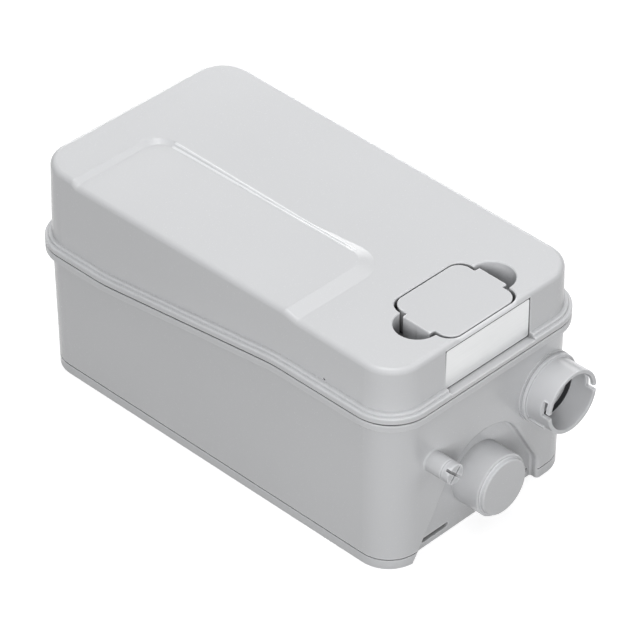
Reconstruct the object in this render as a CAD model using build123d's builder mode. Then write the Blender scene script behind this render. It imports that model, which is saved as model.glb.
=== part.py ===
from build123d import *
from math import atan, cos, degrees, hypot, radians, sin, tan
import os

# A compact sewage lifting unit: a low grey tank with a snapped-on lid, a pump and its motor inside.
# X runs across the unit, the ports are on the -Y end, Z is up from the floor, and the origin is
# the middle of the footprint on the floor. All lengths are millimetres, all angles degrees.

# Overall shape
body_width = 165.0
body_length = 300.0
corner_radius = 27.0
top_z_rear = 148.6
top_z_front = 143.2
seam_z_front = 109.3
seam_z_rear = 90.8
seam_bend_front_set = 93.5
seam_bend_rear_set = 66.0
seam_bend_radius = 110.0

# Walls and the flange that runs round the seam
flange_overhang = 4.25
flange_ledge = 2.2
lid_rim_height = 4.3
lid_step_height = 1.8
tank_lip_height = 4.8
seam_gap = 0.8
tank_wall = 3.0
floor_thickness = 3.5
tank_draft = 0.63
lid_wall = 2.6
lid_draft = 1.4
lid_top_thickness = 2.6
lid_top_fillet = 3.4
tongue_thickness = 1.6
tongue_depth = 3.0
fit_gap = 0.3
gasket_inset = 1.4
rim_search = 3.0
flange_round = 0.7
plinth_height = 6.8
plinth_groove = 1.0
plinth_groove_depth = 0.8
gasket_relief = 0.15
cut_margin = 1.0

# Long panel in the lid, open to the -X side: sunk at the rear, proud of the top at the front
panel_rear_depth = 2.4
panel_front_rise = 1.9
panel_rear_set = 40.5
panel_front_set = 89.5
panel_inner_x = -10.0
panel_corner_radius = 12.0
panel_wall_slope = 55.0
panel_ramp_slope = 78.0
panel_round = 2.0
blister_reach = 6.0

# Filter cover in the lid
cover_set = 31.0
cover_width = 63.0
cover_length = 46.0
cover_lobe_width = 55.6
cover_lobe_radius = 8.5
cover_tab_length = 21.0
cover_wall = 2.2
cover_seal_thickness = 1.5
cover_seal_inset = 1.0
cover_gap = 0.9
well_end_gap = 1.2
cover_sink = 0.3
cover_round = 0.6
cusp_radius = 0.8
well_bevel = 0.6
well_bevel_slope = 45.0
finger_x = 31.0
finger_radius = 13.5
finger_depth = 16.0
cup_width = 44.0
cup_length = 34.0
cup_radius = 4.0
cup_depth = 32.0
cup_wall = 1.8
vent_count = 5
vent_pitch = 6.0
vent_width = 3.0
cover_lift = 45.0

# Label plate on the lid's front
label_width = 68.0
label_height = 26.0
label_center_z = 126.4
label_thickness = 0.8
label_recess = 1.3
label_margin = 0.8
snap_hole_set = 57.0
snap_hole_z = 116.7
snap_hole_diameter = 1.8
snap_hole_skin = 1.0

# Ports on the front wall
stub_diameter = 40.0
stub_wall = 2.8
stub_z = 31.4
stub_reach = 11.0
stub_step = 2.0
stub_step_length = 3.0
stub_round = 0.4
stub_end_round = 0.9
pocket_radius = 33.2
pocket_side_angle = 60.0
pocket_knee_margin = 2.4
pocket_knee_radius = 12.0
pocket_depth = 5.6
pocket_outer_round = 2.0
pocket_inner_round = 1.5
socket_inset = 32.5
socket_z = 68.4
socket_diameter = 41.0
socket_bore = 36.0
socket_reach = 16.6
socket_collar_diameter = 45.0
socket_collar_thickness = 2.2
socket_round = 0.5
bayonet_width = 3.4
bayonet_depth = 6.0
bayonet_hook = 6.5
spigot_inset = 37.5
spigot_z = 69.5
spigot_diameter = 13.0
spigot_bore = 8.0
spigot_round = 1.0
spigot_reach = 13.5
fixing_slot_x = 34.0
fixing_slot_length = 22.0
fixing_slot_height = 3.2
fixing_slot_depth = 8.0
fixing_slot_z = 5.4
plug_head = 5.0
plug_round = 0.4
plug_seal_thickness = 0.8
plug_seal_inset = 0.5
plug_slot_width = 1.7
plug_slot_depth = 3.0
plug_shank_length = 12.0
socket_neck_diameter = 34.0
socket_neck_bore = 29.0
socket_pad = 1.0
socket_boss_length = 14.0
socket_seal_thickness = 1.0
socket_seal_inset = 0.6
socket_nut_diameter = 43.0
socket_nut_thickness = 6.0
mouth_depth = 16.0
mouth_seal_diameter = 34.5
mouth_seal_width = 2.4
mouth_seal_bore = 32.0
mouth_rib_angle = 215.0
mouth_rib_width = 3.0
mouth_rib_height = 1.2
gland_inset = 42.5
gland_z = 62.0
gland_thread_diameter = 16.0
gland_collar_diameter = 22.0
gland_collar_thickness = 3.0
gland_length = 10.0
gland_cable_diameter = 7.5
gland_wall = 2.0
gland_nut_end = 2.5
gland_nut_inset = 0.8
gland_grips = 6

# Pump and motor
pump_set = 88.0
mount_height = 6.5
mount_radius = 7.0
mount_offset = 33.0
suction_plate_thickness = 3.0
volute_height = 28.0
volute_diameter = 108.0
volute_wall = 3.0
hub_radius = 17.0
hub_wall = 3.0
ear_radius = 4.5
ear_circle = 57.0
ear_count = 4
plate_screw_grip = 8.0
strainer_circle = 9.5
strainer_count = 6
strainer_hole = 3.4
impeller_diameter = 72.0
impeller_disc = 3.0
impeller_gap = 2.0
vane_height = 12.0
vane_count = 6
vane_thickness = 3.0
vane_inner = 10.0
vane_bow = 7.0
impeller_hub_radius = 9.0
impeller_nut_height = 4.0
impeller_nut_radius = 7.5
shaft_tip = 3.0
shaft_seal_height = 8.0
deck_z = 45.0
deck_thickness = 3.0
motor_diameter = 90.0
motor_height = 72.0
motor_wall = 2.0
motor_floor = 3.0
motor_flange_width = 7.0
motor_flange_thickness = 4.0
bearing_boss_wall = 3.0
motor_cap_thickness = 3.0
motor_cap_ring = 3.0
winding_height = 8.0
winding_width = 12.0
winding_gap = 1.5
stator_base = 14.0
stator_height = 36.0
rotor_diameter = 46.0
air_gap = 0.5
shaft_diameter = 10.0
bearing_outer = 26.0
bearing_height = 8.0
running_gap = 0.05

# Deck that carries the motor, and the posts under it
deck_gap = 0.5
deck_margin = 4.0
deck_corner_radius = 8.0
deck_notch_x = 27.0
deck_notch_set = 6.0
post_radius = 4.5
post_inset = 7.0
post_peg_radius = 2.0
post_peg_height = 6.0
screw_radius = 1.5
screw_head_radius = 3.0
screw_head_height = 2.0
screw_length = 12.0
screw_slot = 0.9
motor_screw_grip = 5.0

# Discharge line inside
hose_outer = 26.0
hose_inner = 20.0
hose_grip = 16.0
hose_bend = 28.0
hose_run_rear = 36.0
hose_run_front = 20.0
outlet_inset = 14.0
outlet_length = 62.0
tail_bore = 15.0
tail_length = 20.0
clamp_thickness = 1.2
clamp_width = 8.0
valve_seat_set = 38.0
valve_seat_thickness = 4.0
valve_nut_diameter = 40.0
valve_nut_lip = 3.0
valve_nut_length = 17.0
flap_thickness = 2.4
flap_diameter = 19.0
flap_arm_width = 8.0
flap_pin_diameter = 2.0
flap_pin_rise = 10.8
flap_pin_reach = 3.2
flap_pin_length = 22.0
flap_knuckle_diameter = 4.4

# Level switch
switch_margin = 4.0
bell_outer = 30.0
bell_inner = 26.0
bell_bottom_z = 14.0
switch_body_diameter = 40.0
switch_top = 3.0
switch_body_height = 12.0
diaphragm_thickness = 1.2
diaphragm_seat = 2.0
plunger_diameter = 8.0
plunger_foot_diameter = 20.0
plunger_foot = 2.0
plunger_length = 15.0
plunger_travel = 2.0
micro_width = 24.0
micro_depth = 10.0
micro_height = 14.0
micro_button_diameter = 3.0
micro_leg = 4.0
micro_leg_height = 6.0
switch_body_wall = 2.5
button_depth = 1.0

# Control box and capacitor on the deck
box_width = 56.0
box_depth = 22.0
box_height = 58.0
box_gap = 3.0
box_wall = 2.0
board_thickness = 1.6
capacitor_diameter = 28.0
capacitor_height = 50.0
capacitor_gap = 7.0
capacitor_band_height = 10.0
capacitor_band_z = 15.0
capacitor_band = 1.5
capacitor_foot = 8.0
board_lift = 4.0
terminal_width = 36.0
terminal_depth = 9.0
terminal_height = 12.0
terminal_rise = 8.0
terminal_count = 5
terminal_pitch = 7.0
terminal_hole = 3.5

# Values that follow from the ones above
half_length = body_length / 2
seam_bend_front_y = seam_bend_front_set - half_length
seam_bend_rear_y = half_length - seam_bend_rear_set
panel_rear_y = half_length - panel_rear_set
panel_front_y = panel_front_set - half_length
cover_y = cover_set - half_length
snap_hole_y = snap_hole_set - half_length
stub_end_y = -half_length - stub_reach
socket_x = body_width / 2 - socket_inset
socket_end_y = -half_length - socket_reach
spigot_x = spigot_inset - body_width / 2
spigot_end_y = -half_length - spigot_reach
gland_x = gland_inset - body_width / 2
pump_y = half_length - pump_set
valve_seat_y = valve_seat_set - half_length
flap_pin_y = valve_seat_y - flap_pin_reach
wall_width = body_width - 2 * flange_overhang
wall_length = body_length - 2 * flange_overhang
wall_radius = corner_radius - flange_overhang
reach = body_length
top_slope = degrees(atan((top_z_rear - top_z_front) / body_length))
base_inset = seam_z_front * tan(radians(tank_draft))
base_width = wall_width - 2 * base_inset
base_length = wall_length - 2 * base_inset
base_radius = wall_radius - base_inset
pocket_y = -base_length / 2 + pocket_depth
pocket_knee_x = fixing_slot_x + fixing_slot_length / 2 + pocket_knee_margin
sill_width = 2 * (fixing_slot_x + tank_wall) + fixing_slot_length
front_wall_y = -wall_length / 2
lid_base_z = seam_z_rear
tongue_inset = flange_overhang + tank_wall + fit_gap
well_floor_z = top_z_front - finger_depth
cup_floor_z = top_z_front - cup_depth
label_floor_y = -wall_length / 2 + (label_center_z - seam_z_rear) * tan(radians(lid_draft)) + label_recess
motor_base_z = deck_z + deck_thickness
motor_top_z = motor_base_z + motor_height
volute_base_z = floor_thickness + mount_height + suction_plate_thickness
volute_top_z = volute_base_z + volute_height
outlet_z = volute_base_z + volute_height / 2
wall_slope = tan(radians(tank_draft))
socket_pad_y = -base_length / 2 - socket_z * wall_slope - socket_pad
socket_root_y = socket_pad_y - socket_seal_thickness
socket_collar_y = socket_root_y - socket_collar_thickness
mouth_end_y = socket_end_y + mouth_depth
gland_pad_y = base_length / 2 + gland_z * wall_slope + socket_pad
outlet_x = volute_diameter / 2 - outlet_inset
outlet_end_y = pump_y - outlet_length
hose_rear_end_y = outlet_end_y + hose_grip
hose_bend_rear_y = hose_rear_end_y - hose_run_rear
tail_end_y = valve_seat_y + valve_seat_thickness + tail_length
hose_front_end_y = tail_end_y - hose_grip
hose_bend_front_y = hose_front_end_y + hose_run_front + hose_grip
box_y = pump_y - motor_diameter / 2 - motor_flange_width - box_gap - box_depth / 2
capacitor_y = box_y - box_depth / 2 - box_wall - capacitor_gap - capacitor_diameter / 2
switch_y = capacitor_y
deck_width = base_width + 2 * (deck_z * wall_slope - tank_wall - deck_gap)
deck_front_y = switch_y - switch_body_diameter / 2 - 2 * deck_margin
deck_rear_y = pump_y + motor_diameter / 2 + motor_flange_width + deck_margin
deck_notch_y = outlet_end_y - deck_notch_set
switch_x = switch_body_diameter / 2 + switch_margin - deck_width / 2
post_x = deck_width / 2 - post_inset
post_places = (
    (-post_x, deck_front_y + post_inset),
    (post_x, deck_notch_y + post_inset),
    (post_x, deck_rear_y - post_inset),
    (-post_x, deck_rear_y - post_inset),
)
motor_bolt_offset = (motor_diameter / 2 + motor_flange_width / 2) * cos(radians(45))
motor_bolts = [
    (i * motor_bolt_offset, pump_y + j * motor_bolt_offset) for i in (-1, 1) for j in (-1, 1)
]
ear_places = [
    (ear_circle * cos(radians(angle)), pump_y + ear_circle * sin(radians(angle)))
    for angle in range(0, 360, 360 // ear_count)
]
chamber_top_z = volute_top_z - volute_wall
impeller_top_z = chamber_top_z - impeller_gap
impeller_low_z = impeller_top_z - impeller_disc - vane_height
shaft_low_z = impeller_low_z - shaft_tip
shaft_top_z = motor_top_z - running_gap
stator_z = motor_base_z + stator_base
bell_top_z = motor_base_z + diaphragm_seat
diaphragm_top_z = bell_top_z + diaphragm_thickness
switch_top_z = diaphragm_top_z + switch_body_height
micro_z = switch_top_z + micro_leg_height
plunger_low_z = diaphragm_top_z + 2 * running_gap
plunger_top_z = plunger_low_z + plunger_length
button_low_z = plunger_top_z + 2 * running_gap
cover_ceiling_z = top_z_front - cover_sink - cover_wall


def top_z(y):
    """Height of the lid's main top at one place along the unit."""
    return top_z_front + (top_z_rear - top_z_front) * (y + half_length) / body_length


def side_strip(low, high):
    """Side view of the layer between two heights, both measured from the seam."""
    with BuildSketch(Plane.YZ) as strip:
        with BuildLine():
            Polyline(
                (-reach, seam_z_front + low),
                (seam_bend_front_y, seam_z_front + low),
                (seam_bend_rear_y, seam_z_rear + low),
                (reach, seam_z_rear + low),
                (reach, seam_z_rear + high),
                (seam_bend_rear_y, seam_z_rear + high),
                (seam_bend_front_y, seam_z_front + high),
                (-reach, seam_z_front + high),
                close=True,
            )
        make_face()
        bends = strip.vertices().filter_by(lambda v: abs(v.X) < reach - 1)
        fillet(bends, seam_bend_radius)
    return strip.sketch


def on_outline(edge, inset):
    """True for a lengthwise edge of an outer wall, at one inset from the flange's outer edge."""
    middle = edge @ 0.5
    radius = corner_radius - inset
    over_x = max(abs(middle.X) - body_width / 2 + corner_radius, 0)
    over_y = max(abs(middle.Y) - body_length / 2 + corner_radius, 0)
    lengthwise = abs((edge @ 0).Z - (edge @ 1).Z) < edge.length / 2
    return lengthwise and hypot(over_x, over_y) > radius - fit_gap


def rim(outer_inset, inner_inset, low, high, rounding=0.0):
    """Ring that follows the seam, between two insets from the flange's edge, rounded outside if asked."""
    with BuildPart() as band:
        with BuildSketch():
            RectangleRounded(
                body_width - 2 * outer_inset, body_length - 2 * outer_inset, corner_radius - outer_inset
            )
            RectangleRounded(
                body_width - 2 * inner_inset,
                body_length - 2 * inner_inset,
                corner_radius - inner_inset,
                mode=Mode.SUBTRACT,
            )
        extrude(amount=top_z_rear)
        extrude(side_strip(low, high), amount=body_width, both=True, mode=Mode.INTERSECT)
        if rounding:
            fillet(band.edges().filter_by(lambda e: on_outline(e, outer_inset)), rounding)
    return band.part


def front_plane(y):
    """Plane square to Y at one place, facing the front."""
    return Plane.XZ.offset(-y)


def arch(grow, y):
    """Front view of the pocket round the inlet at one place along Y, grown all round, upright at +X."""
    radius = pocket_radius + grow
    lean = radians(pocket_side_angle)
    touch_x = radius * sin(lean)
    touch_z = stub_z + radius * cos(lean)
    foot_z = -pocket_radius
    foot_x = touch_x + (touch_z - foot_z) / tan(lean)
    knee_x = pocket_knee_x + grow
    knee_z = touch_z - (knee_x - touch_x) * tan(lean)
    with BuildSketch(front_plane(y)) as face:
        with Locations((0, stub_z)):
            Circle(radius)
        with BuildLine():
            Polyline(
                (touch_x, touch_z),
                (knee_x, knee_z),
                (knee_x, foot_z),
                (-foot_x, foot_z),
                (-touch_x, touch_z),
                close=True,
            )
        make_face()
        knee = face.vertices().filter_by(lambda v: hypot(v.X - knee_x, v.Y - knee_z) < fit_gap)
        fillet(knee, pocket_knee_radius)
    return face.sketch


def is_top_rim(edge):
    """True for the edges where the lid's top meets its outer walls."""
    middle = edge.center()
    beside = abs(middle.X) > wall_width / 2 - rim_search
    before = abs(middle.Y) > wall_length / 2 - rim_search
    corner = abs(middle.X) > wall_width / 2 - wall_radius and abs(middle.Y) > wall_length / 2 - wall_radius
    level = abs((edge @ 0).Z - (edge @ 1).Z) < blister_reach
    return level and middle.Z > top_z_front - blister_reach and (beside or before or corner)


def is_panel_edge(edge):
    """True for the edges of the long panel that lie inside the lid's top."""
    middle = edge @ 0.5
    inside = abs(middle.X) < wall_width / 2 - 2 * rim_search
    along = panel_front_y - 2 * panel_corner_radius < middle.Y < panel_rear_y + panel_corner_radius
    return inside and along and middle.Z > top_z_front - blister_reach


def is_pocket_edge(edge, y):
    """True for the edges of the pocket's outline near one place along Y, apart from its foot."""
    middle = edge @ 0.5
    return abs(middle.Y - y) < cut_margin and middle.Z > cut_margin and abs(middle.X) < base_width / 2 - tank_wall


def is_stub_ring(edge, y):
    """True for the round edges of the closed inlet near one place along Y."""
    return edge.geom_type == GeomType.CIRCLE and abs((edge @ 0.5).Y - y) < fit_gap


def is_spigot_root(edge):
    """True for the edge where the spigot stands on the front wall."""
    middle = edge @ 0.5
    around = hypot(middle.X - spigot_x, middle.Z - spigot_z) < spigot_diameter
    return around and -half_length < middle.Y < front_wall_y + tank_wall / 2


def is_cusp(vertex):
    """True for the corners where a finger hollow runs into the side of the cover's well."""
    return abs(vertex.Y - cover_y) < finger_radius


def cover_outline(grow, end_gap):
    """Plan of the filter cover: a rounded plate with a wider tab at each end, grown all round."""
    RectangleRounded(cover_lobe_width + 2 * (end_gap + grow), cover_length + 2 * grow, cover_lobe_radius + grow)
    Rectangle(cover_width + 2 * grow, cover_tab_length + 2 * grow)


def well_outline(grow):
    """Plan of the well that the cover sits in, with its two finger hollows, grown all round."""
    with Locations((0, cover_y)):
        cover_outline(cover_gap + grow, well_end_gap)
    with Locations((finger_x, cover_y), (-finger_x, cover_y)):
        Circle(finger_radius + grow)


def tube(y, x, z, outer, inner, length):
    """Tube of two diameters, round an axis along Y, that starts at y and runs towards the front."""
    with BuildPart() as pipe:
        with BuildSketch(front_plane(y)):
            with Locations((x, z)):
                Circle(outer / 2)
                if inner:
                    Circle(inner / 2, mode=Mode.SUBTRACT)
        extrude(amount=length)
    return pipe.part


def washer(x, y, z, outer, inner, height):
    """Upright ring or disc of two radii that starts at z and rises."""
    with BuildPart() as disc:
        with BuildSketch(Plane.XY.offset(z)):
            with Locations((x, y)):
                Circle(outer)
                if inner:
                    Circle(inner, mode=Mode.SUBTRACT)
        extrude(amount=height)
    return disc.part


def block(x, y, z, width, length, height):
    """Upright block centred on x and y that starts at z."""
    with BuildPart() as box:
        with BuildSketch(Plane.XY.offset(z)):
            with Locations((x, y)):
                Rectangle(width, length)
        extrude(amount=height)
    return box.part


def screws(places, seat_z, length, up=1):
    """Upright pan head screws with their heads on the seat: up is 1, or -1 for heads underneath."""
    with BuildPart() as group:
        with BuildSketch(Plane.XY.offset(seat_z)):
            with Locations(*places):
                Circle(screw_head_radius)
        extrude(amount=up * screw_head_height)
        with BuildSketch(Plane.XY.offset(seat_z)):
            with Locations(*places):
                Circle(screw_radius)
        extrude(amount=-up * length)
        with BuildSketch(Plane.XY.offset(seat_z + up * screw_head_height)):
            with Locations(*places):
                Rectangle(2 * screw_radius, screw_slot)
                Rectangle(screw_slot, 2 * screw_radius)
        extrude(amount=-up * screw_head_height / 2, mode=Mode.SUBTRACT)
    return group.part


def save(builder, name):
    """Labels a finished piece and writes it to its own file."""
    builder.part.label = name
    export_step(builder.part, f"parts/{name}.step")


os.makedirs("parts", exist_ok=True)

# Tank: an open moulded shell with the closed inlet, the spigot and the pocket in its front wall.
with BuildPart() as tank_cavity:
    with BuildSketch(Plane.XY.offset(floor_thickness)):
        RectangleRounded(base_width - 2 * tank_wall, base_length - 2 * tank_wall, base_radius - tank_wall)
    extrude(amount=top_z_rear, taper=-tank_draft)
    extrude(arch(tank_wall, pocket_y + tank_wall), amount=half_length, mode=Mode.SUBTRACT)
    with BuildSketch():
        with Locations((0, pocket_y)):
            Rectangle(sill_width, 2 * (fixing_slot_depth + tank_wall))
    extrude(amount=fixing_slot_z + fixing_slot_height / 2 + tank_wall, mode=Mode.SUBTRACT)

with BuildPart() as tank:
    with BuildSketch():
        RectangleRounded(base_width, base_length, base_radius)
    extrude(amount=top_z_rear, taper=-tank_draft)
    extrude(arch(0, pocket_y), amount=half_length, mode=Mode.SUBTRACT)
    fillet(tank.edges().filter_by(lambda e: is_pocket_edge(e, -base_length / 2)), pocket_outer_round)
    fillet(tank.edges().filter_by(lambda e: is_pocket_edge(e, pocket_y)), pocket_inner_round)
    add(tank_cavity.part, mode=Mode.SUBTRACT)
    # A fine groove marks the plinth
    with BuildSketch(Plane.XY.offset(plinth_height - plinth_groove / 2)):
        RectangleRounded(body_width, body_length, corner_radius)
        RectangleRounded(
            base_width - 2 * plinth_groove_depth,
            base_length - 2 * plinth_groove_depth,
            base_radius - plinth_groove_depth,
            mode=Mode.SUBTRACT,
        )
    extrude(amount=plinth_groove, mode=Mode.SUBTRACT)
    extrude(side_strip(-reach, -seam_gap / 2), amount=body_width, both=True, mode=Mode.INTERSECT)
    add(rim(0, flange_overhang + tank_wall, -tank_lip_height - seam_gap / 2, -seam_gap / 2, flange_round))
    # The inlet pipe, closed at its end and open to the inside
    with BuildSketch(front_plane(pocket_y)):
        with Locations((0, stub_z)):
            Circle(stub_diameter / 2)
    extrude(amount=pocket_y - stub_end_y - stub_step_length)
    with BuildSketch(front_plane(pocket_y)):
        with Locations((0, stub_z)):
            Circle(stub_diameter / 2 - stub_step)
    extrude(amount=pocket_y - stub_end_y)
    fillet(tank.edges().filter_by(lambda e: is_stub_ring(e, stub_end_y + stub_step_length)), stub_round)
    fillet(tank.edges().filter_by(lambda e: is_stub_ring(e, stub_end_y)), stub_end_round)
    with BuildSketch(front_plane(pocket_y + 2 * tank_wall)):
        with Locations((0, stub_z)):
            Circle(stub_diameter / 2 - stub_wall)
    extrude(amount=pocket_y + 2 * tank_wall - stub_end_y - stub_wall, mode=Mode.SUBTRACT)
    # The spigot
    with BuildSketch(front_plane(front_wall_y + tank_wall / 2)):
        with Locations((spigot_x, spigot_z)):
            Circle(spigot_diameter / 2)
    extrude(amount=front_wall_y + tank_wall / 2 - spigot_end_y - plug_head - plug_seal_thickness)
    fillet(tank.edges().filter_by(is_spigot_root), spigot_round)
    with BuildSketch(front_plane(front_wall_y + 2 * tank_wall)):
        with Locations((spigot_x, spigot_z)):
            Circle(spigot_bore / 2)
    extrude(amount=half_length, mode=Mode.SUBTRACT)
    # A boss through the wall for the discharge socket, and a flat pad for the cable gland
    with BuildSketch(front_plane(socket_pad_y + socket_boss_length)):
        with Locations((socket_x, socket_z)):
            Circle(socket_collar_diameter / 2 + fit_gap)
    extrude(amount=socket_boss_length)
    with BuildSketch(front_plane(gland_pad_y)):
        with Locations((gland_x, gland_z)):
            Circle(gland_collar_diameter / 2 + fit_gap)
    extrude(amount=socket_pad + tank_wall / 2)
    with BuildSketch(front_plane(half_length)):
        with Locations((gland_x, gland_z)):
            Circle(gland_thread_diameter / 2 + fit_gap)
    extrude(amount=4 * tank_wall, mode=Mode.SUBTRACT)
    # Pegs that hold the posts under the deck
    with BuildSketch(Plane.XY.offset(floor_thickness / 2)):
        with Locations(*post_places):
            Circle(post_peg_radius)
    extrude(amount=post_peg_height + floor_thickness / 2)
    # The hole for the discharge socket
    with BuildSketch(front_plane(socket_pad_y + socket_boss_length + cut_margin)):
        with Locations((socket_x, socket_z)):
            Circle(socket_neck_diameter / 2 + fit_gap)
    extrude(amount=half_length, mode=Mode.SUBTRACT)
    # Two slots under the pocket for floor clips
    with BuildSketch(front_plane(pocket_y + fixing_slot_depth)):
        with Locations((fixing_slot_x, fixing_slot_z), (-fixing_slot_x, fixing_slot_z)):
            SlotOverall(fixing_slot_length, fixing_slot_height)
    extrude(amount=half_length, mode=Mode.SUBTRACT)
save(tank, "tank")

# Lid: a moulded shell with a sloping top, the long panel and the well for the filter cover.
top_plane = Plane(
    origin=(0, 0, top_z(0)),
    x_dir=(1, 0, 0),
    z_dir=(0, -sin(radians(top_slope)), cos(radians(top_slope))),
)
panel_rear_z = top_z(panel_rear_y) - panel_rear_depth
panel_front_z = top_z(panel_front_y) + panel_front_rise
panel_tilt = atan((panel_rear_z - panel_front_z) / (panel_rear_y - panel_front_y))
panel_plane = Plane(
    origin=(0, 0, panel_rear_z - panel_rear_y * tan(panel_tilt)),
    x_dir=(1, 0, 0),
    z_dir=(0, -sin(panel_tilt), cos(panel_tilt)),
)
with BuildSketch(panel_plane) as panel_outline:
    with Locations(((panel_inner_x - body_width) / 2, (panel_rear_y + panel_front_y) / 2)):
        RectangleRounded(body_width + panel_inner_x, panel_rear_y - panel_front_y, panel_corner_radius)

with BuildPart() as blister:
    extrude(panel_outline.sketch, amount=-blister_reach, taper=-panel_ramp_slope)
    with BuildSketch(Plane.XY.offset(lid_base_z)):
        RectangleRounded(wall_width, wall_length, wall_radius)
    extrude(amount=top_z_rear, taper=lid_draft, mode=Mode.INTERSECT)

with BuildPart() as lid_cavity:
    with BuildSketch(Plane.XY.offset(lid_base_z)):
        RectangleRounded(wall_width - 2 * lid_wall, wall_length - 2 * lid_wall, wall_radius - lid_wall)
    extrude(amount=top_z_rear, taper=lid_draft)
    with BuildSketch(top_plane.offset(-panel_rear_depth - lid_top_thickness)):
        Rectangle(2 * reach, 2 * reach)
    extrude(amount=top_z_rear, mode=Mode.SUBTRACT)
    with BuildSketch(Plane.XY.offset(cup_floor_z)):
        with Locations((0, cover_y)):
            RectangleRounded(cup_width + 2 * cup_wall, cup_length + 2 * cup_wall, cup_radius + cup_wall)
    extrude(amount=top_z_rear, mode=Mode.SUBTRACT)
    with BuildSketch(Plane.XY.offset(well_floor_z - cup_wall)):
        well_outline(cup_wall)
    extrude(amount=top_z_rear, mode=Mode.SUBTRACT)

with BuildPart() as lid:
    with BuildSketch(Plane.XY.offset(lid_base_z)):
        RectangleRounded(wall_width, wall_length, wall_radius)
    extrude(amount=top_z_rear, taper=lid_draft)
    with BuildSketch(top_plane):
        Rectangle(2 * reach, 2 * reach)
    extrude(amount=top_z_rear, mode=Mode.SUBTRACT)
    add(blister.part)
    extrude(panel_outline.sketch, amount=blister_reach, taper=-panel_wall_slope, mode=Mode.SUBTRACT)
    fillet(lid.edges().filter_by(is_panel_edge), panel_round)
    fillet(lid.edges().filter_by(is_top_rim), lid_top_fillet)
    add(lid_cavity.part, mode=Mode.SUBTRACT)
    extrude(side_strip(seam_gap / 2, reach), amount=body_width, both=True, mode=Mode.INTERSECT)
    add(rim(0, tongue_inset + tongue_thickness, seam_gap / 2, lid_rim_height, flange_round))
    step_top = lid_rim_height + lid_step_height
    add(rim(flange_ledge, flange_overhang + lid_wall, lid_rim_height / 2, step_top, flange_round))
    add(rim(tongue_inset, tongue_inset + tongue_thickness, -tongue_depth, lid_rim_height))
    # The well for the filter cover, with a finger hollow at each end, and the filter's cup under it
    with BuildSketch(Plane.XY.offset(well_floor_z)) as well_plan:
        well_outline(0)
        fillet(well_plan.vertices().filter_by(is_cusp), cusp_radius)
    extrude(amount=top_z_rear, mode=Mode.SUBTRACT)
    with BuildSketch(top_plane.offset(-well_bevel - fit_gap)) as bevel_plan:
        well_outline(-fit_gap)
        fillet(bevel_plan.vertices().filter_by(is_cusp), cusp_radius)
    extrude(amount=2 * well_bevel + fit_gap, taper=-well_bevel_slope, mode=Mode.SUBTRACT)
    with BuildSketch(Plane.XY.offset(cup_floor_z + cup_wall)):
        with Locations((0, cover_y)):
            RectangleRounded(cup_width, cup_length, cup_radius)
    extrude(amount=top_z_rear, mode=Mode.SUBTRACT)
    with BuildSketch(Plane.XY.offset(cup_floor_z - cut_margin)):
        with Locations((0, cover_y)):
            with GridLocations(0, vent_pitch, 1, vent_count):
                SlotOverall(cup_width - 4 * cup_wall, vent_width)
    extrude(amount=2 * cup_wall, mode=Mode.SUBTRACT)
    # The shallow recess for the label plate
    with BuildSketch(front_plane(label_floor_y)):
        with Locations((0, label_center_z)):
            Rectangle(label_width + 2 * label_margin, label_height + 2 * label_margin)
    extrude(amount=half_length, mode=Mode.SUBTRACT)
    # Small blind holes low on the sides, over the snaps
    with BuildSketch(Plane.YZ.offset(-wall_width / 2 + lid_wall - snap_hole_skin)):
        with Locations((snap_hole_y, snap_hole_z)):
            Circle(snap_hole_diameter / 2)
    extrude(amount=-half_length, mode=Mode.SUBTRACT)
    with BuildSketch(Plane.YZ.offset(wall_width / 2 - lid_wall + snap_hole_skin)):
        with Locations((snap_hole_y, snap_hole_z)):
            Circle(snap_hole_diameter / 2)
    extrude(amount=half_length, mode=Mode.SUBTRACT)
save(lid, "lid")

# Gasket squeezed between the tank's lip and the lid's rim.
with BuildPart() as lid_gasket:
    add(rim(gasket_inset, tongue_inset - fit_gap, -seam_gap / 2, seam_gap / 2 - gasket_relief))
save(lid_gasket, "lid_gasket")

# Filter cover: the lift-off cap of the vent, hollow underneath.
with BuildPart() as filter_cover:
    with BuildSketch(Plane.XY.offset(well_floor_z + cover_seal_thickness)) as cover_plan:
        with Locations((0, cover_y)):
            cover_outline(0, 0)
        tab_reach = cover_tab_length / 2 + fit_gap
        fillet(cover_plan.vertices().filter_by(lambda v: abs(v.Y - cover_y) < tab_reach), cusp_radius)
    extrude(amount=top_z_rear)
    with BuildSketch(top_plane.offset(-cover_sink)):
        Rectangle(2 * reach, 2 * reach)
    extrude(amount=top_z_rear, mode=Mode.SUBTRACT)
    fillet(filter_cover.faces().sort_by(Axis.Z)[-1].edges(), cover_round)
    with BuildSketch(Plane.XY.offset(well_floor_z)):
        with Locations((0, cover_y)):
            RectangleRounded(cup_width, cup_length, cup_radius)
    extrude(amount=cover_ceiling_z - well_floor_z, mode=Mode.SUBTRACT)
save(filter_cover, "filter_cover")

# Soft frame under the filter cover.
with BuildPart() as cover_seal:
    with BuildSketch(Plane.XY.offset(well_floor_z)):
        with Locations((0, cover_y)):
            RectangleRounded(
                cover_lobe_width - 2 * cover_seal_inset,
                cover_length - 2 * cover_seal_inset,
                cover_lobe_radius - cover_seal_inset,
            )
            RectangleRounded(cup_width, cup_length, cup_radius, mode=Mode.SUBTRACT)
    extrude(amount=cover_seal_thickness)
save(cover_seal, "cover_seal")

# Block of active carbon, held in the cover and hanging down in the cup.
with BuildPart() as carbon_filter:
    with BuildSketch(Plane.XY.offset(cover_ceiling_z)):
        with Locations((0, cover_y)):
            RectangleRounded(cup_width - 4 * fit_gap, cup_length - 4 * fit_gap, cup_radius - 2 * fit_gap)
    extrude(amount=cup_floor_z + cup_wall + fit_gap - cover_ceiling_z)
save(carbon_filter, "carbon_filter")

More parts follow.
